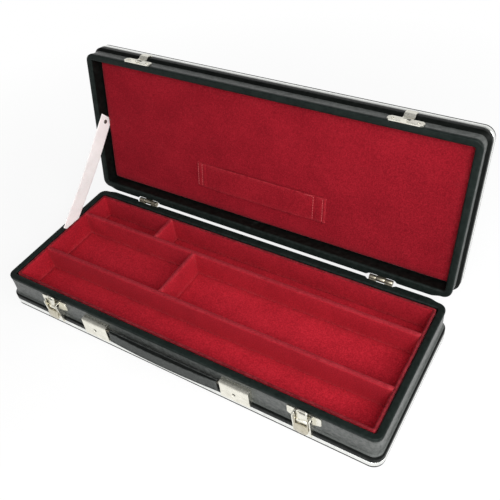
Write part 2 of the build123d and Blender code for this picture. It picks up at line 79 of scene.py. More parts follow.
# Sizes taken from the CAD nodes, and those that go with them
rim_low, rim_high = node_box("base_rim")
band_high = node_box("base_edge_band")[1]
strip_low, strip_high = node_box("base_silver_trim")
pad_low, pad_high = node_box("base_floor_pad")
lining_high = node_box("base_wall_lining")[1]
half_length = rim_high.x
half_depth = rim_high.y
base_height = rim_high.z
corner_radius = 7.0
rim_gap = 0.4
parting = base_height + rim_gap
lid_height = 25.0
panel_thickness = pad_low.z
floor_top = pad_high.z
band_proud = band_high.x - half_length
band_rise = band_high.z
strip_proud = strip_high.x - half_length
strip_bottom = strip_low.z
strip_top = strip_high.z
strip_depth = 1.1
wall_inset = 0.4
wall_inner = 4.4
rim_width = 5.6
rim_height = 3.0
base_skirt = base_height - rim_low.z
lining_drop = base_height - lining_high.z
lining_outer = 6.6
lining_inner = 8.6
pad_recess = 9.8
pad_edge = 12.6
lid_skirt = pad_edge + 0.8

lid_joint = [joint for joint in frame["joints"] if joint["name"] == "lid_hinge"][0]
hinge = Vector(lid_joint["pos_m"])
opening = radians(max(lid_joint["range_deg"]))
swing = Matrix.Rotation(-opening, 4, "X")
open_lid = Matrix.Translation(hinge) @ swing @ Matrix.Translation(-hinge)


def base_place(x, y, height):
    """A point of the base, its height counted down from the base's rim plane."""
    return Vector((x, y, base_height - height)) * mm


def lid_place(x, y, height):
    """A point of the opened lid, its height counted from the lid's rim plane into the lid."""
    return open_lid @ (Vector((x, y, parting + height)) * mm)


def world_place(x, y, z):
    return Vector((x, y, z)) * mm


# Materials
noise_low, noise_high = 0.3, 0.7


def tinted(colour):
    return (*colour, 1.0)


class Surface:
    """A material with a Principled shader, and short ways to add nodes to it."""

    def __init__(self, name):
        self.material = bpy.data.materials.new(name)
        self.material.use_nodes = True
        self.tree = self.material.node_tree
        self.tree.nodes.clear()
        self.output = self.add("ShaderNodeOutputMaterial")
        self.shader = self.add("ShaderNodeBsdfPrincipled")
        self.join(self.shader.outputs[0], self.output.inputs[0])
        self.place = self.add("ShaderNodeTexCoord").outputs["Object"]
        self.normal = None

    def add(self, kind):
        return self.tree.nodes.new(kind)

    def join(self, start, end):
        self.tree.links.new(start, end)

    def feed(self, value, socket):
        """Gives an input its value: another node's output, a colour or a number."""
        if isinstance(value, bpy.types.NodeSocket):
            self.join(value, socket)
        elif hasattr(value, "__len__"):
            socket.default_value = tinted(value)
        else:
            socket.default_value = value

    def set(self, **values):
        names = {
            "metallic": "Metallic",
            "roughness": "Roughness",
            "specular": "Specular IOR Level",
            "sheen": "Sheen Weight",
            "sheen_roughness": "Sheen Roughness",
            "sheen_tint": "Sheen Tint",
        }
        for key, value in values.items():
            self.shader.inputs[names[key]].default_value = value

    def noise(self, size, detail=3.0, roughness=0.55):
        """Noise whose features are about size millimetres across."""
        texture = self.add("ShaderNodeTexNoise")
        texture.inputs["Scale"].default_value = 1.0 / (size * mm)
        texture.inputs["Detail"].default_value = detail
        texture.inputs["Roughness"].default_value = roughness
        self.join(self.place, texture.inputs["Vector"])
        return texture.outputs["Fac"]

    def cells(self, size, feature="F1", randomness=1.0):
        """Cells about size millimetres across: the distance from each cell's middle."""
        texture = self.add("ShaderNodeTexVoronoi")
        texture.feature = feature
        texture.inputs["Scale"].default_value = 1.0 / (size * mm)
        texture.inputs["Randomness"].default_value = randomness
        self.join(self.place, texture.inputs["Vector"])
        return texture.outputs["Distance"]

    def ramp(self, value, stops):
        """Colours or greys at these places of the value's range."""
        ramp = self.add("ShaderNodeValToRGB")
        elements = ramp.color_ramp.elements
        while len(elements) < len(stops):
            elements.new(0.5)
        for element, (place, colour) in zip(elements, stops):
            element.position = place
            element.color = tinted(colour if hasattr(colour, "__len__") else (colour,) * 3)
        self.join(value, ramp.inputs["Fac"])
        return ramp.outputs["Color"]

    def blotches(self, value, dark, light):
        """Goes from dark to light over the middle of a noise's range."""
        return self.ramp(value, ((noise_low, dark), (noise_high, light)))

    def mix(self, factor, first, second, kind="MIX"):
        mix = self.add("ShaderNodeMix")
        mix.data_type = "RGBA"
        mix.blend_type = kind
        self.feed(factor, mix.inputs[0])
        self.feed(first, mix.inputs[6])
        self.feed(second, mix.inputs[7])
        return mix.outputs[2]

    def math(self, kind, first, second):
        math = self.add("ShaderNodeMath")
        math.operation = kind
        self.feed(first, math.inputs[0])
        self.feed(second, math.inputs[1])
        return math.outputs[0]

    def colour(self, socket):
        self.join(socket, self.shader.inputs["Base Color"])

    def rough(self, value, low, high):
        """Roughness that goes from low to high over the middle of the value's range."""
        span = self.add("ShaderNodeMapRange")
        span.inputs["From Min"].default_value = noise_low
        span.inputs["From Max"].default_value = noise_high
        span.inputs["To Min"].default_value = low
        span.inputs["To Max"].default_value = high
        self.join(value, span.inputs["Value"])
        self.join(span.outputs["Result"], self.shader.inputs["Roughness"])

    def bump(self, value, depth, strength=1.0):
        """Adds relief of this depth in millimetres."""
        bump = self.add("ShaderNodeBump")
        bump.inputs["Distance"].default_value = depth * mm
        bump.inputs["Strength"].default_value = strength
        self.join(value, bump.inputs["Height"])
        if self.normal:
            self.join(self.normal, bump.inputs["Normal"])
        self.normal = bump.outputs["Normal"]
        self.join(self.normal, self.shader.inputs["Normal"])

    def wear_and_highlight_edges(self, colour, edge_colour, amount=0.5):
        """A lighter colour on sharp edges, broken up by noise: a painted highlight on the velvets and
        the grip's border, wear elsewhere.
        """
        point = self.add("ShaderNodeNewGeometry").outputs["Pointiness"]
        edge = self.ramp(point, ((0.5, 0.0), (0.56, 1.0)))
        patches = self.ramp(self.noise(3.0), ((0.35, 0.0), (noise_high, amount)))
        return self.mix(self.math("MULTIPLY", edge, patches), colour, edge_colour)


def velvet(name, deep, bright, pile):
    """Cut pile: three reds over a fine noise, with a soft sheen."""
    surface = Surface(name)
    broad = surface.math("MULTIPLY", surface.noise(26.0, detail=1.0), 0.2)
    fine = surface.noise(1.0, detail=2.0)
    nap = surface.math("ADD", broad, surface.math("MULTIPLY", fine, 0.8))
    base = surface.ramp(nap, ((0.36, deep), (0.5, bright), (0.64, pile)))
    # Sharp edges turn a lighter pink: a painted highlight on the lining's and boards' top edges, with
    # some rubbed pile.
    surface.colour(surface.wear_and_highlight_edges(base, edge_colour=(0.46, 0.050, 0.062), amount=0.6))
    surface.set(roughness=0.95, specular=0.05)
    surface.set(sheen=0.12, sheen_roughness=0.4, sheen_tint=(1.0, 0.3, 0.36, 1.0))
    surface.bump(fine, depth=0.22, strength=0.6)
    surface.bump(surface.noise(0.35, detail=2.0), depth=0.12, strength=0.8)
    return surface.material


def grained_shell():
    """Black covering with a fine pebbled grain."""
    surface = Surface("grained_shell")
    grain = surface.cells(0.7, feature="SMOOTH_F1")
    fine = surface.noise(1.2, detail=4.0)
    patch = surface.noise(14.0, detail=4.0)
    base = surface.blotches(patch, (0.038, 0.043, 0.040), (0.047, 0.053, 0.049))
    shade = surface.ramp(grain, ((0.15, 1.0), (0.75, 0.8)))
    shaded = surface.mix(1.0, base, shade, "MULTIPLY")
    surface.colour(surface.wear_and_highlight_edges(shaded, edge_colour=(0.16, 0.165, 0.16)))
    surface.rough(fine, 0.38, 0.46)
    surface.set(specular=0.5)
    surface.bump(grain, depth=0.18, strength=0.7)
    surface.bump(fine, depth=0.03, strength=0.4)
    return surface.material


def moulding(name, dark, light, edge, roughness, specular):
    """Smooth black plastic with faint scuffs."""
    surface = Surface(name)
    patch = surface.noise(10.0, detail=4.0)
    scuffs = surface.noise(2.2, detail=5.0, roughness=0.7)
    surface.colour(surface.wear_and_highlight_edges(surface.blotches(patch, dark, light), edge))
    surface.rough(scuffs, roughness - 0.06, roughness + 0.1)
    surface.set(specular=specular)
    surface.bump(surface.noise(0.8, detail=3.0), depth=0.04, strength=0.5)
    return surface.material


def polished(name, dark, light, roughness):
    """Plated metal, a little uneven and lighter on its edges."""
    surface = Surface(name)
    patch = surface.noise(6.0, detail=4.0)
    scuffs = surface.noise(1.4, detail=5.0, roughness=0.7)
    edge = tuple(min(1.0, channel * 1.12) for channel in light)
    surface.colour(surface.wear_and_highlight_edges(surface.blotches(patch, dark, light), edge))
    surface.rough(scuffs, roughness - 0.05, roughness + 0.1)
    surface.set(metallic=1.0)
    surface.bump(scuffs, depth=0.03, strength=0.4)
    surface.bump(surface.noise(12.0, detail=1.0), depth=0.18, strength=0.3)
    return surface.material


def woven_ribbon():
    """White ribbon with a fine weave and slight soil."""
    surface = Surface("woven_ribbon")
    ribs = surface.cells(0.75, randomness=0.1)
    soil = surface.noise(7.0, detail=4.0)
    base = surface.ramp(soil, ((0.3, (0.90, 0.90, 0.88)), (0.65, (0.95, 0.95, 0.94))))
    # Darker between the weave's ribs: painted shade.
    gaps = surface.ramp(ribs, ((0.35, 1.0), (0.75, 0.9)))
    surface.colour(surface.mix(1.0, base, gaps, "MULTIPLY"))
    surface.set(roughness=0.75, specular=0.25, sheen=0.25, sheen_roughness=0.5)
    surface.bump(ribs, depth=0.12, strength=0.8)
    return surface.material


def pebbled_grip():
    """The grip's face: blotchy black plastic with a coarse grain."""
    surface = Surface("pebbled_grip")
    pebble = surface.cells(0.9, feature="SMOOTH_F1")
    patch = surface.noise(2.4, detail=5.0, roughness=0.65)
    greys = (
        (0.34, (0.013, 0.015, 0.014)),
        (0.52, (0.034, 0.038, 0.036)),
        (0.7, (0.070, 0.075, 0.071)),
    )
    surface.colour(surface.wear_and_highlight_edges(surface.ramp(patch, greys), edge_colour=(0.16, 0.165, 0.16)))
    surface.rough(patch, 0.42, 0.6)
    surface.set(specular=0.25)
    surface.bump(pebble, depth=0.22, strength=0.8)
    surface.bump(surface.noise(0.5), depth=0.06, strength=0.6)
    return surface.material


def sewing_thread():
    surface = Surface("sewing_thread")
    reds = ((0.35, (0.36, 0.035, 0.042)), (0.65, (0.50, 0.10, 0.105)))
    surface.colour(surface.ramp(surface.noise(0.5), reds))
    surface.set(roughness=0.7, specular=0.2)
    surface.bump(surface.noise(0.2), depth=0.05, strength=0.5)
    return surface.material


# The velvets: floor and walls; darker copies, as painted shade, for the lid's pad, the lining's top
# edge, the boards' tops and the band
crimson = velvet(
    "crimson_velvet",
    deep=(0.270, 0.0085, 0.0165),
    bright=(0.360, 0.0120, 0.0225),
    pile=(0.450, 0.0175, 0.0310),
)
# A darker copy of the crimson velvet for the lid's pad: painted shade for the lid's weaker light.
crimson_lid_painted_shade = velvet(
    "crimson_lid_painted_shade",
    deep=(0.170, 0.0050, 0.0105),
    bright=(0.232, 0.0072, 0.0145),
    pile=(0.295, 0.0105, 0.0200),
)
# A darker copy for the lining's top edge: painted shade over its lit top.
crimson_edge_painted_shade = velvet(
    "crimson_edge_painted_shade",
    deep=(0.080, 0.0045, 0.0070),
    bright=(0.115, 0.0070, 0.0105),
    pile=(0.155, 0.0105, 0.0155),
)
# A darker copy for the boards' tops: painted shade on faces that look upwards.
crimson_top_painted_shade = velvet(
    "crimson_top_painted_shade",
    deep=(0.180, 0.0085, 0.0140),
    bright=(0.240, 0.0125, 0.0200),
    pile=(0.300, 0.0185, 0.0280),
)
# A darker copy of the crimson velvet for the lid's band, like the pad's: painted shade.
crimson_strap_painted_shade = velvet(
    "crimson_strap_painted_shade",
    deep=(0.180, 0.0055, 0.0110),
    bright=(0.245, 0.0080, 0.0155),
    pile=(0.310, 0.0120, 0.0215),
)
shell_black = grained_shell()
rim_black = moulding(
    "rim_moulding",
    dark=(0.0030, 0.0058, 0.0050),
    light=(0.0065, 0.0105, 0.0092),
    edge=(0.035, 0.045, 0.042),
    roughness=0.42,
    specular=0.09,
)
band_black = moulding(
    "edge_moulding",
    dark=(0.0016, 0.0020, 0.0018),
    light=(0.0034, 0.0042, 0.0038),
    edge=(0.03, 0.034, 0.031),
    roughness=0.34,
    specular=0.05,
)
bright_metal = polished("bright_strip", (0.76, 0.77, 0.75), (0.90, 0.91, 0.88), 0.2)
nickel = polished("warm_nickel", (0.74, 0.72, 0.63), (0.88, 0.86, 0.77), 0.27)
lever_nickel = polished("lever_nickel", (0.44, 0.41, 0.32), (0.64, 0.60, 0.49), 0.3)
dull_nickel = polished("dull_nickel", (0.13, 0.12, 0.09), (0.36, 0.33, 0.26), 0.36)
steel = polished("dark_steel", (0.045, 0.042, 0.036), (0.12, 0.11, 0.095), 0.4)
ribbon_white = woven_ribbon()
grip_black = pebbled_grip()
# The grip's border and top: smooth black plastic made darker than the face as painted shade above the
# grip. Its much lighter edges are a painted highlight on the top bead.
border_shade_and_highlight = moulding(
    "grip_border_shade_and_highlight",
    dark=(0.0040, 0.0045, 0.0045),
    light=(0.0080, 0.0090, 0.0085),
    edge=(0.12, 0.125, 0.12),
    roughness=0.3,
    specular=0.2,
)
thread = sewing_thread()


# Mesh building
def mesh_object(name, mesh_maker, material, sharp=40.0):
    """Makes an object from a bmesh, with smooth faces between its sharp edges."""
    mesh = bpy.data.meshes.new(name)
    bmesh.ops.recalc_face_normals(mesh_maker, faces=mesh_maker.faces)
    mesh_maker.to_mesh(mesh)
    mesh_maker.free()
    mesh.materials.append(material)
    mesh.shade_smooth()
    mesh.set_sharp_from_angle(angle=radians(sharp))
    piece = bpy.data.objects.new(name, mesh)
    scene.collection.objects.link(piece)
    return piece


def join_rows(maker, rows, closed_loop=False):
    """Makes faces between loops of as many points each, and caps both ends if they are open."""
    for row, following in zip(rows, rows[1:] + rows[:1] if closed_loop else rows[1:]):
        for index in range(len(row)):
            ahead = (index + 1) % len(row)
            maker.faces.new((row[index], row[ahead], following[ahead], following[index]))
    if not closed_loop:
        maker.faces.new(rows[0])
        maker.faces.new(rows[-1])


def rounded(corners, steps=3, longest=None):
    """A closed polygon of (a, b, radius) corners as points, rounded at each corner."""
    points = []
    for place, (a, b, radius) in enumerate(corners):
        corner = Vector((a, b))
        before = Vector(corners[place - 1][:2]) - corner
        after = Vector(corners[(place + 1) % len(corners)][:2]) - corner
        if radius <= 0:
            points.append(corner)
            continue
        before.normalize()
        after.normalize()
        half = before.angle(after) / 2
        centre = corner + (before + after).normalized() * (radius / sin(half))
        start = corner + before * (radius / tan(half)) - centre
        end = corner + after * (radius / tan(half)) - centre
        turn = start.angle_signed(end)
        for step in range(steps + 1):
            spoke = start.copy()
            spoke.rotate(Matrix.Rotation(-turn * step / steps, 2))
            points.append(centre + spoke)
    if longest:
        filled = []
        for place, point in enumerate(points):
            following = points[(place + 1) % len(points)]
            pieces = max(1, round((following - point).length / longest))
            filled += [point.lerp(following, piece / pieces) for piece in range(pieces)]
        points = filled
    return points


least_radius = 1.5


def round_case(inset, corner_steps, spacing):
    """Points anticlockwise round the case at an inset, as many at every inset."""
    radius = max(corner_radius - inset, least_radius)
    half_x, half_y = half_length - inset, half_depth - inset
    centres = [
        (half_x - radius, half_y - radius),
        (radius - half_x, half_y - radius),
        (radius - half_x, radius - half_y),
        (half_x - radius, radius - half_y),
    ]

    def on_corner(centre, angle):
        return Vector((centre[0] + radius * cos(angle), centre[1] + radius * sin(angle)))

    points = []
    for corner, centre in enumerate(centres):
        for step in range(corner_steps + 1):
            points.append(on_corner(centre, pi / 2 * (corner + step / corner_steps)))
        end = on_corner(centres[(corner + 1) % 4], pi / 2 * (corner + 1))
        steps = round((half_length if corner % 2 == 0 else half_depth) * 2 / spacing)
        start = points[-1]
        points += [start.lerp(end, step / steps) for step in range(1, steps)]
    return points


def ring(name, profile, place, material, corner_steps=12, spacing=400.0, sharp=40.0):
    """Sweeps a closed profile of (inset, height) points round the case."""
    maker = bmesh.new()
    rows = []
    for inset, height in profile:
        outline = round_case(inset, corner_steps, spacing)
        rows.append([maker.verts.new(place(x, y, height)) for x, y in outline])
    join_rows(maker, rows, closed_loop=True)
    return mesh_object(name, maker, material, sharp)


def loft(name, sections, material, sharp=40.0):
    """Joins closed loops of points and closes both ends."""
    maker = bmesh.new()
    join_rows(maker, [[maker.verts.new(point) for point in section] for section in sections])
    return mesh_object(name, maker, material, sharp)


def rumple(piece, amount, size, seed):
    """Moves the points along their normals by smooth noise, amount and size in millimetres."""
    mesh = piece.data
    shift = Vector((seed * 7.3, seed * 3.1, seed * 5.7))
    moves = []
    for vertex in mesh.vertices:
        scaled = vertex.co / (size * mm) + shift
        value = noise.noise(scaled) + 0.4 * noise.noise(scaled * 2.7)
        moves.append(vertex.normal * (value * amount * mm))
    for vertex, move in zip(mesh.vertices, moves):
        vertex.co += move
    mesh.update()


# A stitch's cross-sections: place along its pitch, share of its radius, and lift in radii
stitch_sections = (
    (-0.42, 0.45, -0.5),
    (-0.3, 0.9, 0.1),
    (0, 1.0, 0.3),
    (0.3, 0.9, 0.1),
    (0.42, 0.45, -0.5),
)
stitch_sides = 6


def stitches(name, runs, place, radius, material):
    """Raised stitches: a run is a start, an end, a number of stitches and the outward direction."""
    maker = bmesh.new()
    for start, end, count, outward in runs:
        start, end, outward = Vector(start), Vector(end), Vector(outward)
        pitch = (end - start) / count
        side = pitch.normalized().cross(outward)
        for index in range(count):
            middle = start + pitch * (index + 0.5)
            rows = []
            for along, size, lift in stitch_sections:
                centre = middle + pitch * along + outward * (lift * radius)
                loop = []
                for turn in range(stitch_sides):
                    angle = 2 * pi * turn / stitch_sides
                    spoke = (side * cos(angle) + outward * sin(angle)) * (radius * size)
                    loop.append(maker.verts.new(place(*(centre + spoke))))
                rows.append(loop)
            join_rows(maker, rows)
    return mesh_object(name, maker, material, 80.0)


# A rivet head's profile, in shares of its radius and its rise: a thin flange and a dome on it
dome_sides = 20
dome_profile = [(1.0, -0.1), (1.0, 0.18), (0.93, 0.3), (0.86, 0.42)]
for angle in (15, 35, 55, 75):
    dome_profile.append((0.84 * cos(radians(angle)), 0.45 + 0.55 * sin(radians(angle))))


def domes(name, centres, radius, rise, outward, across, material):
    """Domed rivet heads on a thin flange, standing on the face at each centre."""
    outward, across = Vector(outward), Vector(across)
    up = outward.cross(across)
    maker = bmesh.new()
    for centre in centres:
        centre = Vector(centre)
        rows = []
        for reach, lift in dome_profile:
            loop = []
            for turn in range(dome_sides):
                angle = 2 * pi * turn / dome_sides
                spoke = (across * cos(angle) + up * sin(angle)) * (radius * reach)
                spot = centre + spoke + outward * (rise * lift)
                loop.append(maker.verts.new(world_place(*spot)))
            rows.append(loop)
        join_rows(maker, rows)
    return mesh_object(name, maker, material, 50.0)


end_insets = (0.0, 0.35, 1.0, 2.0, 3.3, 5.0, 7.0)
beside_offsets = (-4.5, -3.2, -2.4, 2.4, 3.2, 4.5)


def grid_lines(low, high, spacing, places=()):
    """Places of a grid's lines: close together at both ends and beside the given places."""
    lines = [low + inset for inset in end_insets] + [high - inset for inset in end_insets]
    for place in places:
        lines += [place + offset for offset in beside_offsets]
    lines = sorted(line for line in lines if low <= line <= high)
    filled = []
    for start, end in zip(lines, lines[1:]):
        pieces = max(1, round((end - start) / spacing))
        filled += [start + (end - start) * piece / pieces for piece in range(pieces)]
    return filled + [lines[-1]]


slab_corner = 0.36


def slab(name, lines_x, lines_y, top, bottom, place, material):
    """A closed slab on a grid: top(x, y) gives the height of its upper face."""
    maker = bmesh.new()
    grid = []
    last_x, last_y = len(lines_x) - 1, len(lines_y) - 1
    for i, x in enumerate(lines_x):
        column = []
        for j, y in enumerate(lines_y):
            if i in (0, last_x) and j in (0, last_y):
                x_in = x + slab_corner * (1 if i == 0 else -1)
                y_in = y + slab_corner * (1 if j == 0 else -1)
                column.append(maker.verts.new(place(x_in, y_in, top(x, y))))
            else:
                column.append(maker.verts.new(place(x, y, top(x, y))))
        grid.append(column)
    for i in range(last_x):
        for j in range(last_y):
            maker.faces.new((grid[i][j], grid[i + 1][j], grid[i + 1][j + 1], grid[i][j + 1]))
    border = [(i, 0) for i in range(last_x)] + [(last_x, j) for j in range(last_y)]
    border += [(i, last_y) for i in range(last_x, 0, -1)] + [(0, j) for j in range(last_y, 0, -1)]
    upper = [grid[i][j] for i, j in border]
    lower = [maker.verts.new(place(lines_x[i], lines_y[j], bottom)) for i, j in border]
    for index in range(len(border)):
        ahead = (index + 1) % len(border)
        maker.faces.new((upper[index], upper[ahead], lower[ahead], lower[index]))
    maker.faces.new(lower)
    return mesh_object(name, maker, material, 60.0)


# Rims, edge mouldings and bright strips of both halves
ring_spacing = 2.5
flare_rise = 2.2
rear_ledge = 2.1
ledge_width = 3.0
ledge_taper = 9.0
notch_play = 0.3
notch_taper = 2.5
skirt_shade_start = 1.6
flare_paint_end = 1.2
leaf_low, leaf_high = node_box("hinge_base_leaf_right")


def paint(piece, profile, material, chosen):
    """Gives another material to a ring's faces that start at the chosen points of its profile."""
    piece.data.materials.append(material)
    per_side = len(piece.data.polygons) // len(profile)
    for face in piece.data.polygons:
        if chosen(*profile[face.index // per_side]):
            face.material_index = 1


def rim_profile(skirt):
    return rounded(
        (
            (0.0, 0.0, 1.05),
            (0.0, rim_height, 0.25),
            (wall_inner, rim_height, 0),
            (wall_inner, skirt, 0.2),
            (rim_width, skirt, 0.3),
            (rim_width, 0.0, 1.5),
        ),
        steps=4,
    )


def band_profile(height, foot):
    """The moulding from its foot on the outer panel's face up to the flare on the wall."""
    groove_start = height - strip_bottom
    groove_end = height - strip_top
    floor = strip_depth - band_proud
    return rounded(
        (
            (wall_inset, height, 0),
            (-band_proud, height, 1.1),
            (-band_proud, groove_start, 0.22),
            (floor, groove_start, 0),
            (floor, groove_end, 0),
            (-band_proud, groove_end, 0.22),
            (-band_proud, foot + flare_rise, 0.8),
            ((wall_inset - band_proud) / 2, foot + flare_rise / 2, 0),
            (wall_inset - 0.05, foot, 0.12),
            (wall_inset, foot, 0),
        ),
        steps=3,
    )


def strip_profile(height):
    start, end = height - strip_bottom, height - strip_top
    floor = strip_depth - band_proud
    return rounded(
        (
            (-strip_proud, start, 0.75),
            (floor, start, 0),
            (floor, end, 0),
            (-strip_proud, end, 0.75),
        ),
        steps=4,
    )


def share_of(value, whole):
    """How far a value has come to the whole, from 0 to 1."""
    return min(1.0, max(0.0, value / whole))


def ledged(place):
    """The rims reach back to the hinge pins along the rear, and leave a notch round each hinge."""
    hinge_middle = (leaf_low.x + leaf_high.x) / 2
    notch_half = (leaf_high.x - leaf_low.x) / 2 + notch_play
    ledge_end = half_length - corner_radius

    def placed(x, y, height):
        near_edge = share_of(y - half_depth + ledge_width, ledge_width)
        near_hinge = share_of(abs(abs(x) - hinge_middle) - notch_half, notch_taper)
        along = share_of(ledge_end - abs(x), ledge_taper) * near_hinge
        return place(x, y + rear_ledge * near_edge * along * along * (3 - 2 * along), height)

    return placed


for body, height, skirt, place in (
    ("base", base_height, base_skirt, base_place),
    ("lid", lid_height, lid_skirt, lid_place),
):
    foot = height - band_rise
    rim_points, band_points = rim_profile(skirt), band_profile(height, foot)
    strip_points = strip_profile(height)
    rim = ring(
        f"{body}_rim_moulding", rim_points, ledged(place), rim_black, spacing=ring_spacing
    )
    band = ring(f"{body}_edge_moulding", band_points, place, band_black)
    strip = ring(f"{body}_bright_strip", strip_points, place, bright_metal)
    # The rim's inner skirt takes the darker edge moulding's material: painted shade in the recess
    # beside the lining and the pad.
    paint(
        rim,
        rim_points,
        band_black,
        lambda inset, down: inset > rim_width - 0.01 and down > skirt_shade_start,
    )
    if body == "base":
        paint(band, band_points, shell_black, lambda inset, down: down < foot + flare_paint_end)
    for piece, node in ((rim, "rim"), (band, "edge_band"), (strip, "silver_trim")):
        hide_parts(f"{body}_{node}")
        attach(piece, body)

# Velvet floor pad: it rises softly between the walls and the dividers
front_low, front_high = node_box("front_divider")
rear_low, rear_high = node_box("rear_divider")
middle_low, middle_high = node_box("middle_cross_divider")
cross_low, cross_high = node_box("rear_cross_divider")
front_divider_y = (front_low.y + front_high.y) / 2
rear_divider_y = (rear_low.y + rear_high.y) / 2
middle_cross_x = (middle_low.x + middle_high.x) / 2
rear_cross_x = (cross_low.x + cross_high.x) / 2
inner_x = half_length - lining_inner
inner_y = half_depth - lining_inner
half_board = (front_high.y - front_low.y) / 2
fall = base_height - floor_top
floor_spacing = 3.5
sink_depth = 0.8
sink_reach = 3.5
floor_wave = 0.35
floor_ripple = 0.12


def floor_height(x, y):
    """Counted down from the rim plane: lower along everything that stands on the pad."""
    gaps = [inner_x - abs(x), inner_y - abs(y), abs(y - front_divider_y) - half_board]
    gaps.append(abs(y - rear_divider_y) - half_board)
    if front_divider_y < y < rear_divider_y:
        gaps.append(abs(x - middle_cross_x) - half_board)
    if y > rear_divider_y:
        gaps.append(abs(x - rear_cross_x) - half_board)
    gap = max(0.0, min(gaps))
    sunk = sink_depth * max(0.0, 1.0 - gap / sink_reach) ** 2
    spot = Vector((x / 16.0, y / 11.0, 4.0))
    return fall + sunk - floor_wave * noise.noise(spot) - floor_ripple * noise.noise(spot * 3.1)


walls_x = (middle_cross_x, rear_cross_x, -inner_x, inner_x)
walls_y = (front_divider_y, rear_divider_y, -inner_y, inner_y)
floor_pad = slab(
    "floor_velvet",
    grid_lines(pad_low.x, pad_high.x, floor_spacing, walls_x),
    grid_lines(pad_low.y, pad_high.y, floor_spacing, walls_y),
    floor_height,
    base_height - panel_thickness,
    base_place,
    crimson,
)
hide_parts("base_floor_pad")
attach(floor_pad, "base")

# Velvet wall lining: thick against the wall below, thin behind the rim's skirt
lining_step = base_skirt + 0.5
lining_radius = 0.95
lining_shade_depth = 1.0
fabric_spacing = 2.6
lining = ring(
    "wall_velvet",
    rounded(
        (
            (lining_outer, lining_drop, lining_radius),
            (lining_outer, lining_step, 0),
            (wall_inner, lining_step, 0.4),
            (wall_inner, fall, 0),
            (lining_inner, fall, 0),
            (lining_inner, lining_drop, lining_radius),
        ),
        steps=4,
        longest=fabric_spacing,
    ),
    base_place,
    crimson,
    corner_steps=4,
    spacing=3.0,
    sharp=60.0,
)
# The lining's top millimetre gets the darker copy: painted shade.
lining.data.materials.append(crimson_edge_painted_shade)
for face in lining.data.polygons:
    face.material_index = 1 if face.center.z > (lining_high.z - lining_shade_depth) * mm else 0
rumple(lining, 0.16, 13.0, 1)
rumple(lining, 0.09, 3.6, 2)
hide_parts("base_wall_lining")
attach(lining, "base")


# Covered boards between the compartments: they run into the lining and the floor pad
board_radius = 1.95
board_overlap = 0.5
board_sink = 0.4
shaded_top_facing = 0.5


def covered_board(name, node, seed):
    low, high = node_box(node)
    along_x = high.x - low.x > high.y - low.y
    thick_low, thick_high = (low.y, high.y) if along_x else (low.x, high.x)
    start, end = (low.x, high.x) if along_x else (low.y, high.y)
    start -= board_overlap
    end += board_overlap
    top, foot = high.z, low.z - board_sink
    loop = rounded(
        (
            (thick_low, foot, 0),
            (thick_high, foot, 0),
            (thick_high, top, board_radius),
            (thick_low, top, board_radius),
        ),
        steps=5,
        longest=2.4,
    )
    count = max(2, round((end - start) / fabric_spacing))
    sections = []
    for step in range(count + 1):
        along = start + (end - start) * step / count
        points = []
        for across, z in loop:
            spot = (along, across, z) if along_x else (across, along, z)
            points.append(world_place(*spot))
        sections.append(points)
    board = loft(name, sections, crimson, 60.0)
    # Faces that look upwards get the darker copy: painted shade on the boards' tops.
    board.data.materials.append(crimson_top_painted_shade)
    for face in board.data.polygons:
        face.material_index = 1 if face.normal.z > shaded_top_facing else 0
    rumple(board, 0.14, 12.0, seed)
    rumple(board, 0.09, 3.4, seed + 4)
    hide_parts(node)
    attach(board, "base")


covered_board("front_board", "front_divider", 3)
covered_board("rear_board", "rear_divider", 5)
covered_board("middle_cross_board", "middle_cross_divider", 7)
covered_board("rear_cross_board", "rear_cross_divider", 9)


# Padded panel of the lid: a crowned panel whose edges roll back to the wall
pad_x = half_length - lining_outer
pad_y = half_depth - lining_outer
pad_roll = 8.4
pad_spacing = 3.0
# How high and how fine the pad's unevenness is, coarse to fine
pad_waves = ((0.45, 1.0), (0.16, 2.9), (0.06, 8.0))


def pad_height(x, y):
    """Counted into the lid from its rim plane."""
    draw = 1.0
    for near in (pad_x - abs(x), pad_y - abs(y)):
        draw *= sqrt(1.0 - (1.0 - share_of(near, pad_roll)) ** 2.4)
    spot = Vector((x / 26.0, y / 17.0, 9.0))
    rumpled = sum(height * noise.noise(spot * finer) for height, finer in pad_waves)
    return pad_edge + (pad_recess - pad_edge + rumpled) * draw


lid_pad = slab(
    "lid_velvet",
    grid_lines(-pad_x, pad_x, pad_spacing),
    grid_lines(-pad_y, pad_y, pad_spacing),
    pad_height,
    lid_height - panel_thickness,
    lid_place,
    crimson_lid_painted_shade,
)
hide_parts("lid_pad")
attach(lid_pad, "lid")

# Sewn velvet band on the lid's panel. Its two ends are turned under and sewn down with two rows
# of stitches each, at these insets from the end.
strap_length, strap_width = 127.0, 23.0
strap_x, strap_y = -1.5, 27.0
strap_hem = 9.0
strap_half = strap_length / 2
strap_rows = {-1: (1.1, 5.2), 1: (2.8, 11.4)}
hem_thickness = 1.55
band_thickness = 1.05
furrow_depth, furrow_half = 0.5, 0.9
lip_length = 0.8


def strap_section(along):
    """(middle height, thickness, width) of the band at a distance from its middle."""
    near_end = strap_half - abs(along)
    if near_end < strap_hem:
        thickness = hem_thickness + 0.25 * sin(pi * near_end / strap_hem)
        for row in strap_rows[-1 if along < 0 else 1]:
            thickness -= furrow_depth * max(0.0, 1.0 - abs(near_end - row) / furrow_half)
        if near_end < lip_length:
            thickness -= 0.5 * (1 - near_end / lip_length)
        return pad_recess - thickness / 2 + 0.15, thickness, strap_width
    share = (near_end - strap_hem) / (strap_half - strap_hem)
    rise = 1.1 * (1 - (1 - min(1.0, share * 2.2)) ** 2)
    width = strap_width + 0.5 * sin(pi * min(1.0, share * 2) / 2)
    return pad_recess - 0.6 - rise, band_thickness, width


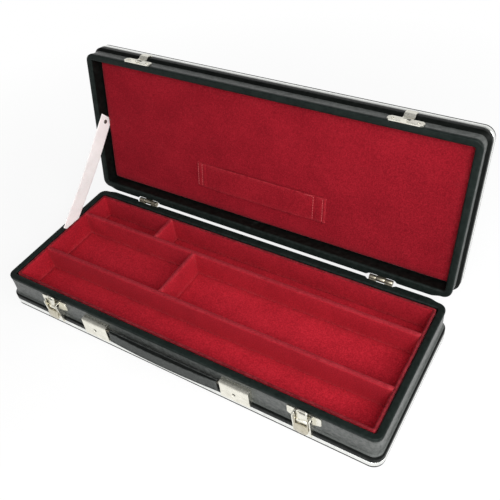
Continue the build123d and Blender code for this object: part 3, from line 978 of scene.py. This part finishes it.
hem_steps = [inset * 0.4 for inset in range(24)]
plain_half = strap_half - 9.6
plain_steps = 54
strap_stations = [inset - strap_half for inset in hem_steps]
strap_stations += [plain_half * (2 * step / plain_steps - 1) for step in range(plain_steps + 1)]
strap_stations += [strap_half - inset for inset in reversed(hem_steps)]
strap_sections = []
for along in strap_stations:
    middle, thickness, width = strap_section(along)
    loop = rounded(
        (
            (-width / 2, middle - thickness / 2, 0.45),
            (width / 2, middle - thickness / 2, 0.45),
            (width / 2, middle + thickness / 2, 0.3),
            (-width / 2, middle + thickness / 2, 0.3),
        ),
        steps=3,
        longest=2.2,
    )
    section = [lid_place(strap_x + along, strap_y + across, height) for across, height in loop]
    strap_sections.append(section)
strap = loft("lid_band", strap_sections, crimson_strap_painted_shade, 60.0)
rumple(strap, 0.12, 9.0, 11)
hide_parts("lid_strap")
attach(strap, "lid")

stitch_height = pad_recess - 1.3
stitch_inset = 0.8
stitch_radius = 0.33
towards_inside = (0, 0, -1)
strap_top = strap_y - strap_width / 2
strap_bottom = strap_y + strap_width / 2
sewn_rows = []
for side, insets in strap_rows.items():
    for inset in insets:
        x = strap_x + side * (strap_half - inset)
        start = (x, strap_top + stitch_inset, stitch_height)
        end = (x, strap_bottom - stitch_inset, stitch_height)
        sewn_rows.append((start, end, 9, towards_inside))
# A short seam along the band's upper edge, near its right end
seam_y = strap_top + 0.7
seam_start = (strap_x + strap_half - 24, seam_y, stitch_height - 0.35)
seam_end = (strap_x + strap_half - 12, seam_y, stitch_height)
sewn_rows.append((seam_start, seam_end, 7, towards_inside))
strap_stitches = stitches("lid_band_stitches", sewn_rows, lid_place, stitch_radius, thread)
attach(strap_stitches, "lid")

# Ribbon stay: a woven band from a rivet in the lid to behind the base's lining. Its run is drawn
# in y and z, and it stands off the rims' skirts by its play and its bow.
rivet_low, rivet_high = node_box("stay_rivet")
stay_width = 15.4
stay_thickness = 0.5
stay_past_rivet = 5.3
stay_past_rim = 6.0
stay_play = 0.12
stay_bow = 1.3
stay_twist = 0.5
stay_steps = 90
rivet_middle = (rivet_low + rivet_high) / 2
stay_top = Vector((rivet_middle.y, rivet_middle.z))
stay_foot = Vector((11.9, base_height))
stay_run = (stay_top - stay_foot).normalized()
stay_side = Vector((-stay_run.y, stay_run.x))
stay_end = stay_top + stay_run * stay_past_rivet
stay_start = stay_foot - stay_run * stay_past_rim
skirt_face = -half_length + rim_width
stay_loop = rounded(
    (
        (-stay_width / 2, 0.0, 0.2),
        (stay_width / 2, 0.0, 0.2),
        (stay_width / 2, stay_thickness, 0.2),
        (-stay_width / 2, stay_thickness, 0.2),
    ),
    steps=2,
    longest=1.3,
)
sections = []
for step in range(stay_steps + 1):
    share = step / stay_steps
    middle = stay_start.lerp(stay_end, share)
    free = sin(pi * share_of(share - 0.08, 0.84))
    twist = stay_twist * sin(2 * pi * share) * free
    points = []
    for across, deep in stay_loop:
        spot = middle + stay_side * across
        x = skirt_face + stay_play + deep + stay_bow * free + twist * across / stay_width
        points.append(world_place(x, spot.x, spot.y))
    sections.append(points)
stay = loft("ribbon_stay", sections, ribbon_white, 50.0)
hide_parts("lid_stay")
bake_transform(stay)
stay_rivet = domes(
    "stay_rivet_head",
    [(rivet_low.x + 0.55, rivet_middle.y, rivet_middle.z)],
    radius=2.0,
    rise=1.0,
    outward=(1, 0, 0),
    across=(0, 1, 0),
    material=steel,
)
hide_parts("stay_rivet")
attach(stay_rivet, "lid")


# Handle grip: a bowed bar with a border bead round its pebbled face. Its section is drawn in y
# and z: the front face is sunk between the beads, and the back is thicker above a step, where the
# rod runs through it.
grip_low, grip_high = node_box("handle_grip")
grip_half = (grip_high.x - grip_low.x) / 2
grip_x = (grip_high.x + grip_low.x) / 2
grip_middle_front = grip_low.y
grip_end_front = -70.6
grip_back, grip_top_back = -68.4, grip_high.y
grip_step_bottom, grip_step_top = 16.0, 17.8
grip_edge = 1.3
grip_sink, grip_sink_run = 0.35, 3.0
grip_steps = 60
grip_end_insets = (0.0, 0.25, 0.7, 1.3, 2.2)
grip_inner = grip_half - 3.2
bow = grip_end_front - grip_middle_front
bow_radius = (grip_half**2 + bow**2) / (2 * bow)
grip_stations = [inset - grip_half for inset in grip_end_insets]
grip_stations += [grip_inner * (2 * step / grip_steps - 1) for step in range(grip_steps + 1)]
grip_stations += [grip_half - inset for inset in reversed(grip_end_insets)]
sections = []
for x in grip_stations:
    from_end = grip_half - abs(x)
    edge = 1.0 - sqrt(max(0.0, 1.0 - (1.0 - min(1.0, from_end / grip_edge)) ** 2))
    outer = grip_middle_front + bow_radius - sqrt(bow_radius**2 - x * x) + 0.9 * edge
    low = grip_low.z + 0.9 * edge
    high = grip_high.z - 0.6 * edge
    sunk = grip_sink * min(1.0, from_end / grip_sink_run)
    loop = rounded(
        (
            (grip_top_back, high, 0.3),
            (grip_top_back, grip_step_top, 0),
            (grip_back, grip_step_bottom, 0),
            (grip_back, low, 0.4),
            (outer + 0.4, low, 0.5),
            (outer, low + 0.9, 0.3),
            (outer + 0.05, low + 1.4, 0.2),
            (outer + sunk, low + 1.9, 0.2),
            (outer + sunk * 0.4, (low + high) / 2, 0),
            (outer + sunk, high - 1.9, 0.2),
            (outer + 0.05, high - 1.4, 0.2),
            (outer, high - 0.9, 0.3),
            (outer + 0.5, high - 0.25, 0.3),
            (outer + 1.2, high - 0.6, 0.2),
            (grip_top_back - 1.2, high - 0.6, 0.15),
            (grip_top_back - 0.8, high, 0.15),
        ),
        steps=3,
    )
    sections.append([world_place(grip_x + x, y, z) for y, z in loop])
grip = loft("grip_bar", sections, grip_black, 50.0)
rumple(grip, 0.04, 4.0, 21)
# Faces that don't look forwards get the border material: painted shade on the grip's top.
grip.data.materials.append(border_shade_and_highlight)
front_facing = -0.75
for face in grip.data.polygons:
    face.material_index = 0 if face.normal.y < front_facing else 1
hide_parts("handle_grip")
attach(grip, "handle")


# Domed heads for the rivets of the latches, strikes and hinges
def opened_places(centres):
    return [open_lid @ (Vector(centre) * mm) / mm for centre in centres]


def turned(direction):
    return open_lid.to_3x3() @ Vector(direction)


def pairs(middle, offset):
    """Places along x of two rivets on each of the left and the right fitting."""
    return [side * middle + shift for side in (-1, 1) for shift in (-offset, offset)]


forwards, backwards, sideways = (0, -1, 0), (0, 1, 0), (1, 0, 0)
latch_x = 119.0
plate_neck, plate_width = 14.5, 27.0
wing_rivet_x = (plate_neck + plate_width) / 4
wing_rivet_z = 25.4
wing_face = -half_depth + wall_inset - 1.0
latch_heads = domes(
    "latch_rivet_heads",
    [(x, wing_face, wing_rivet_z) for x in pairs(latch_x, wing_rivet_x)],
    radius=1.5,
    rise=0.3,
    outward=forwards,
    across=sideways,
    material=nickel,
)
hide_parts("latch_rivets")
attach(latch_heads, "base")

strike_rivet_x = 9.4
strike_rivet_z = parting + 4.6
strike_face = -half_depth - 1.0
strike_centres = [(x, strike_face, strike_rivet_z) for x in pairs(latch_x, strike_rivet_x)]
strike_heads = domes(
    "strike_rivet_heads",
    opened_places(strike_centres),
    radius=1.5,
    rise=0.5,
    outward=turned(forwards),
    across=sideways,
    material=nickel,
)
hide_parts("strike_rivets")
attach(strike_heads, "lid")

hinge_x = 119.0
hinge_z = hinge.z / mm
leaf_rivet_x = 6.0
leaf_start, leaf_length = 2.1, 9.2
leaf_middle = leaf_start + 0.6 * leaf_length
leaf_face = half_depth + 1.0
leaf_head_radius, leaf_head_rise = 1.7, 0.75
base_leaf_heads = domes(
    "hinge_base_heads",
    [(x, leaf_face, hinge_z - leaf_middle) for x in pairs(hinge_x, leaf_rivet_x)],
    leaf_head_radius,
    leaf_head_rise,
    outward=backwards,
    across=sideways,
    material=nickel,
)
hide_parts("hinge_base_rivets")
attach(base_leaf_heads, "base")
lid_leaf_centres = [(x, leaf_face, hinge_z + leaf_middle) for x in pairs(hinge_x, leaf_rivet_x)]
lid_leaf_heads = domes(
    "hinge_lid_heads",
    opened_places(lid_leaf_centres),
    leaf_head_radius,
    leaf_head_rise,
    outward=turned(backwards),
    across=sideways,
    material=nickel,
)
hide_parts("hinge_lid_rivets")
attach(lid_leaf_heads, "lid")


# Materials and softened edges of the CAD nodes that stay
weld_distance = 0.002
least_edge_angle = 35


def finish_node(name, material, edge=None):
    """Gives a CAD node its material and, for sheet metal, bevelled edges of this width."""
    node = nodes[name]
    node.data.materials.clear()
    node.data.materials.append(material)
    if edge:
        weld = node.modifiers.new("weld", "WELD")
        weld.merge_threshold = weld_distance * mm
        bevel = node.modifiers.new("edge", "BEVEL")
        bevel.width = edge * mm
        bevel.segments = 2
        bevel.limit_method = "ANGLE"
        bevel.angle_limit = radians(least_edge_angle)
        bevel.harden_normals = True


for name in ("base_shell", "base_bottom", "lid_shell", "lid_top"):
    finish_node(name, shell_black)
for hand in ("left", "right"):
    finish_node(f"latch_plate_{hand}", nickel, 0.18)
    finish_node(f"latch_lever_{hand}", lever_nickel, 0.2)
    finish_node(f"latch_link_{hand}", nickel, 0.15)
    finish_node(f"link_pin_{hand}", steel, 0.1)
    finish_node(f"strike_plate_{hand}", nickel, 0.18)
    finish_node(f"handle_cap_{hand}", nickel, 0.25)
    finish_node(f"hinge_base_leaf_{hand}", dull_nickel, 0.15)
    finish_node(f"hinge_lid_leaf_{hand}", dull_nickel, 0.15)
finish_node("latch_pivot_pins", steel, 0.12)
finish_node("hinge_pins", dull_nickel, 0.1)
finish_node("handle_rod", steel, 0.1)
finish_node("handle_rivets", steel, 0.2)


# Floor, light and camera. These lengths are in metres.
pure_white = (1.0, 1.0, 1.0)
floor_half = 3.0
floor_z = -0.0003
dim_radius, dim_share = 0.22, 0.86
white_radius = 0.6


def lit_stage(name, colour):
    """Shows white to the camera and to reflections, with some of its shading near the case."""
    surface = Surface(name)
    paler = tuple(channel * 0.985 for channel in colour)
    surface.colour(surface.blotches(surface.noise(60.0, detail=2.0), colour, paler))
    surface.set(roughness=0.8, specular=0.1)
    path = surface.add("ShaderNodeLightPath")
    glow = surface.add("ShaderNodeEmission")
    glow.inputs["Strength"].default_value = 1.0
    glow.inputs["Color"].default_value = tinted(pure_white)
    seen = surface.math("MAXIMUM", path.outputs["Is Glossy Ray"], path.outputs["Is Transmission Ray"])
    seen = surface.math("MAXIMUM", seen, path.outputs["Is Camera Ray"])
    distance = surface.add("ShaderNodeVectorMath")
    distance.operation = "LENGTH"
    surface.join(surface.place, distance.inputs[0])
    fade = surface.ramp(distance.outputs["Value"], ((dim_radius, dim_share), (white_radius, 1.0)))
    blend = surface.add("ShaderNodeMixShader")
    surface.join(surface.math("MULTIPLY", seen, fade), blend.inputs[0])
    surface.join(surface.shader.outputs[0], blend.inputs[1])
    surface.join(glow.outputs[0], blend.inputs[2])
    surface.join(blend.outputs[0], surface.output.inputs[0])
    return surface.material


floor_maker = bmesh.new()
for x, y in ((-1, -1), (1, -1), (1, 1), (-1, 1)):
    floor_maker.verts.new((x * floor_half, y * floor_half, floor_z))
floor_maker.faces.new(floor_maker.verts)
floor_mesh = bpy.data.meshes.new("studio_floor")
floor_maker.to_mesh(floor_mesh)
floor_maker.free()
studio_floor = bpy.data.objects.new("studio_floor", floor_mesh)
floor_mesh.materials.append(lit_stage("studio_floor", (0.9, 0.9, 0.9)))
scene.collection.objects.link(studio_floor)

world = bpy.data.worlds.new("studio")
scene.world = world
world.use_nodes = True
tree = world.node_tree
tree.nodes.clear()
world_output = tree.nodes.new("ShaderNodeOutputWorld")
path = tree.nodes.new("ShaderNodeLightPath")


def background(colour, strength):
    shade = tree.nodes.new("ShaderNodeBackground")
    shade.inputs["Color"].default_value = tinted(colour)
    shade.inputs["Strength"].default_value = strength
    return shade


def chosen(factor, first, second):
    """The first shader where the factor is 0, and the second where it is 1."""
    blend = tree.nodes.new("ShaderNodeMixShader")
    tree.links.new(factor, blend.inputs[0])
    tree.links.new(first, blend.inputs[1])
    tree.links.new(second, blend.inputs[2])
    return blend.outputs[0]


# Reflections see the white backdrop round the horizon and a dimmer ceiling above it
soft = background((0.96, 0.98, 1.0), 0.32)
white = background(pure_white, 1.0)
room = background(pure_white, 1.0)
direction = tree.nodes.new("ShaderNodeTexCoord")
split = tree.nodes.new("ShaderNodeSeparateXYZ")
ceiling = tree.nodes.new("ShaderNodeValToRGB")
for end, (height, grey) in zip(ceiling.color_ramp.elements, ((0.12, 1.0), (0.6, 0.36))):
    end.position = height
    end.color = tinted((grey, grey, grey))
tree.links.new(direction.outputs["Generated"], split.inputs[0])
tree.links.new(split.outputs["Z"], ceiling.inputs["Fac"])
tree.links.new(ceiling.outputs["Color"], room.inputs["Color"])
mirrored = tree.nodes.new("ShaderNodeMath")
mirrored.operation = "MAXIMUM"
tree.links.new(path.outputs["Is Glossy Ray"], mirrored.inputs[0])
tree.links.new(path.outputs["Is Transmission Ray"], mirrored.inputs[1])
lit = chosen(mirrored.outputs[0], soft.outputs[0], room.outputs[0])
lit = chosen(path.outputs["Is Camera Ray"], lit, white.outputs[0])
tree.links.new(lit, world_output.inputs[0])


def area_light(name, place, target, size, power, colour=pure_white):
    light = bpy.data.lights.new(name, "AREA")
    light.shape = "SQUARE"
    light.size = size
    light.energy = power
    light.color = colour
    lamp = bpy.data.objects.new(name, light)
    lamp.location = place
    lamp.rotation_euler = (Vector(target) - Vector(place)).to_track_quat("-Z", "Y").to_euler()
    scene.collection.objects.link(lamp)


area_light("key", (0.33, -0.36, 0.52), (0, 0, 0.03), 0.3, 3.8, (1.0, 0.99, 0.97))
area_light("side", (0.65, 0.0, 0.42), (0, 0, 0.05), 0.35, 2.8)
area_light("fill", (0.30, -1.1, 0.65), (0, 0, 0.05), 0.8, 3.0, (0.97, 0.99, 1.0))

forward = Vector((-sin(camera_azimuth), cos(camera_azimuth), 0)) * cos(camera_elevation)
forward.z = -sin(camera_elevation)
level = forward.cross(Vector((0, 0, 1))).normalized()
above = level.cross(forward)
right = level * cos(camera_roll) + above * sin(camera_roll)
up = above * cos(camera_roll) - level * sin(camera_roll)
turn = Matrix((right, up, -forward)).transposed().to_4x4()
camera_data = bpy.data.cameras.new("camera")
camera_data.lens = camera_lens
camera_data.sensor_width = sensor_width
camera_data.sensor_fit = "HORIZONTAL"
camera_data.clip_start = 0.01
camera = bpy.data.objects.new("camera", camera_data)
camera.matrix_world = Matrix.Translation(camera_place) @ turn
scene.collection.objects.link(camera)
scene.camera = camera
scene.view_settings.view_transform = "Standard"
